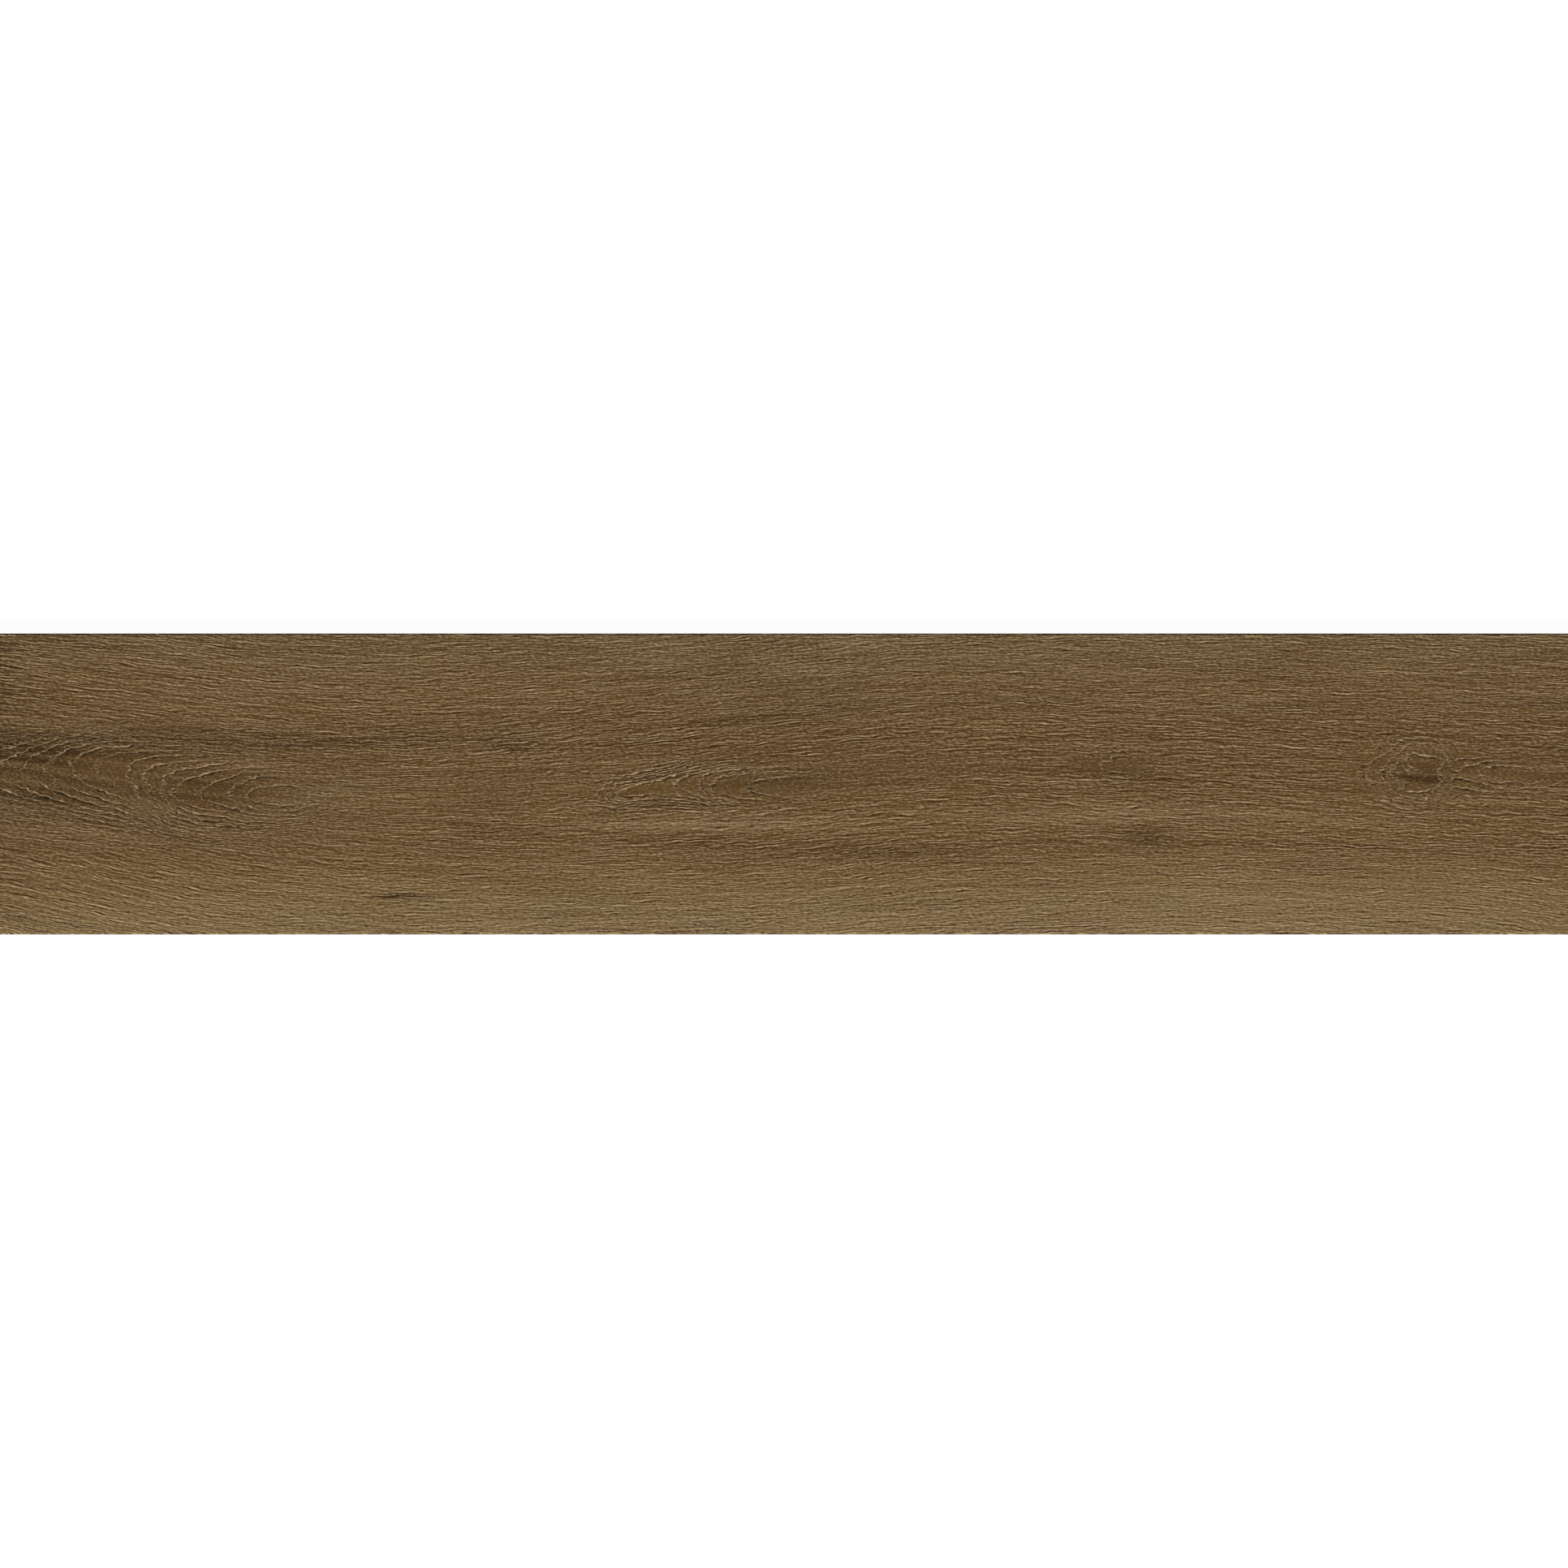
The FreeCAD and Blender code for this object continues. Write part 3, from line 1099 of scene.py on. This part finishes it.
@dataclass(frozen=True)
class PrintedGlaze:
    """Matte glaze with the oak print: ring lines, pores, fibres and the marks of the patches, partly drawn
    with painted light and shade.

    Where a ring runs along the plank its line is a dark core with a lip on its upper side, raised a little in
    the bump and pale with a painted highlight, as if the key light from the front lit the groove's far wall.
    Where it crosses the plank it is a thinner line with dashes beside it, the line and its dashes each with a
    painted highlight on one side. Fibres and flecks are drawn with painted emboss shading. Each sway is how
    far a noise moves what it bends, and the last three lengths are the bump of the lines and the long pores.
    """

    ring_pitch: float
    half_width: float
    # dark is the dark of the grain and pores and also the painted shade on the shaded side of the fibres and
    # flecks; pale is the pale tone of the patches and also the painted highlight of the lips and of the
    # fibres' and flecks' lit side.
    dark: tuple = paint(44, 22, 0)
    pale: tuple = paint(212, 184, 144)
    line: tuple = paint(22, 11, 0)
    calm: tuple = paint(92, 70, 42)
    stain: tuple = paint(58, 39, 13)
    grey: tuple = paint(112, 101, 70)
    specular: float = 0.08
    roughness: float = 0.58
    wander: Lump = Lump(16, 5)
    jag: Lump = Lump(4.5, 2.2, start_along=40)
    # The fibres' and flecks' noises are drawn with painted emboss shading: a painted highlight on one side of
    # each lump and painted shade on the other.
    fibre_with_painted_shading: Lump = Lump(28, 0.95)
    fleck_with_painted_shading: Lump = Lump(7, 1.05, start_across=60)
    cord: Lump = Lump(18, 2.2, start_across=20)
    hair: Lump = Lump(2.6, 1.1, start_across=80)
    leather: Lump = Lump(3.6, 1.7, start_across=33)
    streak: Lump = Lump(120, 6)
    cloud: Lump = Lump(70, 24, layer=7.0)
    level_core: Stroke = Stroke(0.0, 0.2, 0.75)
    # Strokes of the painted highlights beside the ring lines, which are also raised lips in the bump.
    level_lip_and_painted_highlight: Stroke = Stroke(0.85, 0.15, 0.6)
    steep_core: Stroke = Stroke(-0.6, 0.25, 0.85)
    steep_lip_and_painted_highlight: Stroke = Stroke(0.4, 0.2, 0.7)
    ring_dash: Dash = Dash(6.0, 2.4, 0.36)
    long_pore: Dash = Dash(34, 6.0, 0.3)
    short_pore: Dash = Dash(10, 3.6, 0.28, start=77)
    level_sway: float = 1.8
    steep_sway: float = 3.0
    jag_sway: float = 1.8
    fibre_sway: float = 2.2
    tone_sway: float = 26.0
    line_depth: float = 0.18
    lip_height: float = 0.05
    pore_depth: float = 0.08

    def tones(self) -> tuple:
        """The print's ground from the front side, which is palest, to the rear one."""
        return (
            (0.0, paint(124, 99, 65)),
            (0.12, paint(115, 90, 54)),
            (0.26, paint(100, 74, 40)),
            (0.5, paint(96, 70, 36)),
            (0.68, paint(93, 68, 34)),
            (0.85, paint(96, 72, 39)),
            (1.0, paint(96, 73, 41)),
        )

    def build(self) -> bpy.types.Material:
        """Makes the material.

        Returns:
            The material, whose sockets are driven by Object coordinates and the face's attributes.
        """
        bench = Bench("printed_glaze")
        along, across, _ = bench.place()
        rise, height, pace = bench.attribute("grain")
        spread, lean, steep = bench.attribute("flow")
        calm, tone, grey = bench.attribute("marks")
        pressed, nest, follow = bench.attribute("figure")
        level, level_pace, _ = bench.attribute("fibres")
        side = height.sign()
        busy = 1 - calm * 0.6

        wander = bench.ripple(*self.wander.at(along, across))
        jag = bench.ripple(*self.jag.at(along, across)) * self.jag_sway
        ringed = rise + wander * pace * (steep * self.steep_sway + self.level_sway) + jag * spread
        ring = (ringed / self.ring_pitch).nearest_whole()
        off_ring = ringed - ring * self.ring_pitch
        band = (abs(off_ring) / spread).fall(0.5, 1.1) * pressed * steep
        dash_core, dash_lip_and_painted_highlight = self.ring_dash.draw(bench, along, across, 1.0, lean)
        off_line = off_ring / pace
        run = pressed * (1 - steep)
        climb = pressed * steep * 0.7
        core = (self.level_core.draw(off_line * side) * run).at_least(dash_core * band)
        core = core.at_least(self.steep_core.draw(off_line) * climb)
        # The lips are a painted highlight on one side of each ring line and dash; they are also raised a
        # little in the bump.
        lip_and_painted_highlight = (self.level_lip_and_painted_highlight.draw(off_line * side) * run).at_least(dash_lip_and_painted_highlight * band)
        lip_and_painted_highlight = lip_and_painted_highlight.at_least(self.steep_lip_and_painted_highlight.draw(off_line) * climb)

        plain = busy * (1 - nest)
        pored = plain * (1 - follow)
        wavy = level + wander * level_pace * self.fibre_sway
        unit = 1 / level_pace
        long_core, long_pore_painted_highlight = self.long_pore.draw(bench, along, wavy, unit, 0.0)
        short_core, short_pore_painted_highlight = self.short_pore.draw(bench, along, wavy, unit, 0.0)
        pore_core = (long_core * 0.8).at_least(short_core * 0.6) * pored
        # The pores' lips are only a painted highlight beside each pore.
        pore_painted_highlight = (long_pore_painted_highlight * 0.8).at_least(short_pore_painted_highlight * 0.6) * pored

        # Fibres and flecks: painted emboss shading, with a painted highlight on one side of each lump and
        # painted shade on the other.
        level_fibre_with_painted_shading = bench.painted_emboss_shading(*self.fibre_with_painted_shading.at(along, wavy))
        ring_strands = Strands(bench, along, rise + wander * pace * self.fibre_sway, pace)
        fibre_with_painted_shading = level_fibre_with_painted_shading * (1 - follow) + ring_strands.noise(self.fibre_with_painted_shading) * follow
        fleck_with_painted_shading = bench.painted_emboss_shading(*self.fleck_with_painted_shading.at(along, wavy))
        cord = bench.ripple(*self.cord.at(along, wavy))
        hair = bench.ripple(*self.hair.at(along, across))
        leather = bench.ripple(*self.leather.at(along, across))
        streak = bench.ripple(*self.streak.at(along, wavy), detail=1.0)
        cloud = bench.noise(self.cloud.in_layer(bench, along, across))

        share = (across + (cloud - 0.5) * self.tone_sway) / (2 * self.half_width) + 0.5
        colour = bench.colour_steps(share, self.tones())
        colour = bench.blend(colour, self.grey, grey * (cloud.ramp(0.35, 0.7) * 0.4 + 0.12))
        colour = bench.blend(colour, self.calm, calm * 0.5)
        deep = tone.at_least(0.0)
        colour = bench.blend(colour, self.stain, deep * (deep * 0.35 + 0.5 - streak * 1.5))
        colour = bench.blend(colour, self.pale, (tone * -0.35).at_least(0.0))

        # grain holds the fibres' and flecks' painted emboss shading along with the plain streaks of the
        # print.
        grain = (fibre_with_painted_shading * 0.6 + fleck_with_painted_shading * 0.38 + cord * 0.05 + leather * grey * 0.25) * plain
        grain = grain + hair * (0.5 - nest * 0.1) + streak * 0.2
        # The pale blend paints the highlights of the fibres, flecks, lips and pores with the grain's pale
        # streaks; the dark blend paints the shade of the fibres and flecks with the grain's dark streaks and
        # the pores.
        pale_grain_and_painted_highlight = grain.at_least(0.0) + lip_and_painted_highlight * 0.48 + pore_painted_highlight * 0.2
        colour = bench.blend(colour, self.pale, pale_grain_and_painted_highlight)
        colour = bench.blend(colour, self.dark, (grain * -2.0).at_least(0.0) + pore_core * 0.4)
        colour = bench.blend(colour, self.line, core * 0.9)

        lines = lip_and_painted_highlight * self.lip_height - core * self.line_depth
        pores = long_core * plain * self.pore_depth
        roughness = self.roughness + core * 0.15 - grain * 0.1
        return bench.finish(colour, roughness, lines - pores, self.specular)


def body_specks(bench: Bench, along: Signal, across: Signal, up: Signal) -> Signal:
    """Noise with a lump for each of the body's specks, which show wherever the body is bare."""
    size = 0.9
    return bench.noise(bench.join(along / size, across / size, up / size))


@dataclass(frozen=True)
class GroundBody:
    """The brown body where the sides were ground: fine marks along the side, and the body's specks."""

    body: tuple = paint(106, 85, 60)
    pale: tuple = paint(128, 107, 80)
    dark: tuple = paint(78, 60, 40)
    mark_length: float = 40.0
    mark_height: float = 0.22
    specular: float = 0.3

    def build(self) -> bpy.types.Material:
        """Makes the material.

        Returns:
            The material, whose marks run level along each side.
        """
        bench = Bench("ground_body")
        along, across, up = bench.place()
        length = self.mark_length
        marks = bench.noise(bench.join(along / length, across / length, up / self.mark_height), 2.0, 0.6)
        specks = body_specks(bench, along, across, up)
        colour = bench.blend(self.body, self.pale, marks.ramp(0.5, 0.75) * 0.5)
        colour = bench.blend(colour, self.dark, marks.fall(0.3, 0.5) * 0.4)
        colour = bench.blend(colour, self.dark, specks.fall(0.28, 0.42) * 0.5)
        colour = bench.blend(colour, self.pale, specks.ramp(0.6, 0.72) * 0.4)
        return bench.finish(colour, 0.62 - marks * 0.1, marks * 0.03 + specks * 0.02, self.specular)


@dataclass(frozen=True)
class KilnBack:
    """The unglazed back: brown body with a pale release wash on the ribs, worn by the rollers."""

    body: tuple = paint(112, 90, 65)
    dark: tuple = paint(86, 67, 46)
    wash: tuple = paint(176, 163, 140)
    rib_depth: float = 0.12
    cloud: Lump = Lump(45, 30, layer=2.0)
    roller: Lump = Lump(52, 400, layer=9.0)
    sand: Lump = Lump(2.2, 2.2, layer=5.0)
    specular: float = 0.2

    def build(self) -> bpy.types.Material:
        """Makes the material.

        Returns:
            The material, whose wash lies only on the surfaces that touched the rollers.
        """
        bench = Bench("kiln_back")
        along, across, up = bench.place()
        cloud = bench.noise(self.cloud.in_layer(bench, along, across), 3.0, 0.6)
        specks = body_specks(bench, along, across, up)
        roller = bench.noise(self.roller.in_layer(bench, along, across))
        sandy = bench.noise(self.sand.in_layer(bench, along, across), 2.0, 0.65)
        on_rib = up.fall(0.02, self.rib_depth)
        wash = on_rib * (cloud * 0.5 + roller * 0.5 + (sandy - 0.5) * 0.7).ramp(0.35, 0.62)
        colour = bench.blend(self.body, self.dark, cloud.fall(0.35, 0.6) * 0.5)
        colour = bench.blend(colour, self.dark, specks.fall(0.28, 0.42) * 0.5)
        colour = bench.blend(colour, self.wash, wash * 0.75)
        return bench.finish(colour, 0.82 - wash * 0.05, sandy * 0.08 + specks * 0.03, self.specular)


@dataclass(frozen=True)
class Studio:
    """Camera straight above the tile, a low soft key from the front, a plain fill and a white floor."""

    lens: float = 135.0
    sensor: float = 36.0
    seen_share: float = 0.998
    key_elevation: float = 38.0
    key_share: float = 0.65
    key_softness: float = 20.0
    under_share: float = 0.3
    floor_gap: float = 0.2
    floor_half: float = 6.0
    floor_glow: float = 0.94
    floor_white: float = 0.09

    def camera(self, low: np.ndarray, high: np.ndarray) -> None:
        """Puts the camera where the tile's length just overfills the frame's width.

        Args:
            low: the tile's lowest corner in metres.
            high: its highest corner.
        """
        seen_length = (high[0] - low[0]) * self.seen_share
        data = bpy.data.cameras.new("camera")
        data.lens = self.lens
        data.sensor_width = self.sensor
        camera = bpy.data.objects.new("camera", data)
        camera.location = (0, 0, high[2] + seen_length * self.lens / self.sensor)
        data.clip_start, data.clip_end = 0.1, 100.0
        bpy.context.scene.collection.objects.link(camera)
        bpy.context.scene.camera = camera

    def sun(self, name: str, share: float, elevation: float, above: bool) -> None:
        """A distant soft lamp on the front side.

        Args:
            name: the lamp's name.
            share: how much of a level surface's light it gives.
            elevation: its angle from the level, in degrees.
            above: whether it shines from above or from below.
        """
        tilt = math.radians(90 - elevation)
        data = bpy.data.lights.new(name, "SUN")
        data.energy = share * math.pi / math.cos(tilt)
        data.angle = math.radians(self.key_softness)
        lamp = bpy.data.objects.new(name, data)
        lamp.rotation_euler = (tilt if above else math.pi - tilt, 0, 0)
        bpy.context.scene.collection.objects.link(lamp)

    def seen_directly(self, tree: bpy.types.NodeTree) -> bpy.types.NodeSocket:
        """One for rays from the camera, off gloss or through glass, and zero for light on the object."""
        path = tree.nodes.new("ShaderNodeLightPath")
        total = path.outputs["Is Camera Ray"]
        for name in ("Is Glossy Ray", "Is Transmission Ray"):
            either = tree.nodes.new("ShaderNodeMath")
            either.operation = "MAXIMUM"
            tree.links.new(total, either.inputs[0])
            tree.links.new(path.outputs[name], either.inputs[1])
            total = either.outputs[0]
        return total

    def world(self) -> None:
        """White where it is seen, and the fill's share of light on the object."""
        world = bpy.data.worlds.new("studio")
        world.use_nodes = True
        tree = world.node_tree
        strength = tree.nodes.new("ShaderNodeMapRange")
        tree.links.new(self.seen_directly(tree), strength.inputs["Value"])
        strength.inputs["To Min"].default_value = 1 - self.key_share
        background = tree.nodes["Background"]
        background.inputs["Color"].default_value = (1, 1, 1, 1)
        tree.links.new(strength.outputs["Result"], background.inputs["Strength"])
        bpy.context.scene.world = world

    def floor(self, low: np.ndarray) -> None:
        """White floor that shows the tile's shadow and is clear when it is seen from below.

        Args:
            low: the tile's lowest corner in metres.
        """
        level = low[2] - self.floor_gap / METRE
        signs = ((-1, -1), (1, -1), (1, 1), (-1, 1))
        corners = [(x * self.floor_half, y * self.floor_half, level) for x, y in signs]
        mesh = bpy.data.meshes.new("floor")
        mesh.from_pydata(corners, [], [(0, 1, 2, 3)])
        floor = bpy.data.objects.new("floor", mesh)
        floor.visible_diffuse = False
        floor.visible_shadow = False
        bpy.context.scene.collection.objects.link(floor)
        mesh.materials.append(self.floor_paint())
        floor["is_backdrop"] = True

    def floor_paint(self) -> bpy.types.Material:
        """A white that partly glows where it is seen, mixed to clear on its underside."""
        bench = Bench("floor_paint")
        tree = bench.tree
        grey = (self.floor_white,) * 3 + (1.0,)
        white = bench.node("ShaderNodeBsdfDiffuse", "BSDF", {}, {"Color": grey})
        seen = Signal(bench, self.seen_directly(tree))
        glow = bench.node("ShaderNodeEmission", "Emission", {}, {"Strength": seen * self.floor_glow})
        top = bench.node("ShaderNodeAddShader", "Shader", {}, {0: white, 1: glow})
        clear = bench.node("ShaderNodeBsdfTransparent", "BSDF", {}, {})
        under = bench.node("ShaderNodeNewGeometry", "Backfacing", {}, {})
        both = bench.node("ShaderNodeMixShader", "Shader", {}, {0: under, 1: top, 2: clear})
        output = tree.nodes.new("ShaderNodeOutputMaterial")
        tree.links.new(both.socket, output.inputs["Surface"])
        return bench.material

    def build(self, low: np.ndarray, high: np.ndarray) -> None:
        """Sets up the whole studio round the tile's box in metres."""
        self.camera(low, high)
        self.world()
        self.floor(low)
        self.sun("key", self.key_share, self.key_elevation, above=True)
        self.sun("under", self.under_share, self.key_elevation, above=False)
        bpy.context.scene.view_settings.view_transform = "Standard"


def main() -> None:
    """Loads the CAD, replaces its node with the dressed tile and sets up the studio."""
    logging.basicConfig(level=logging.INFO, format="%(name)s: %(message)s")
    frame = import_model()
    cad_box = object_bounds()

    grain_field = GrainField()
    maker = PlankTile(frame["nodes"][NODE], grain_field)
    tile = maker.build()
    finishes = {
        Surface.PRINT: PrintedGlaze(grain_field.ring_pitch, float(maker.high[1])),
        Surface.GROUND: GroundBody(),
        Surface.BACK: KilnBack(),
    }
    for surface in Surface:
        tile.data.materials.append(finishes[surface].build())
    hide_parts(NODE)
    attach(tile, "root")
    tile.data.calc_loop_triangles()
    log.info("%s: %d triangles", tile.name, len(tile.data.loop_triangles))

    Studio().build(np.array(cad_box[0]), np.array(cad_box[1]))
    log.info("studio: camera, two lamps, floor")


if __name__ == "__main__":
    main()
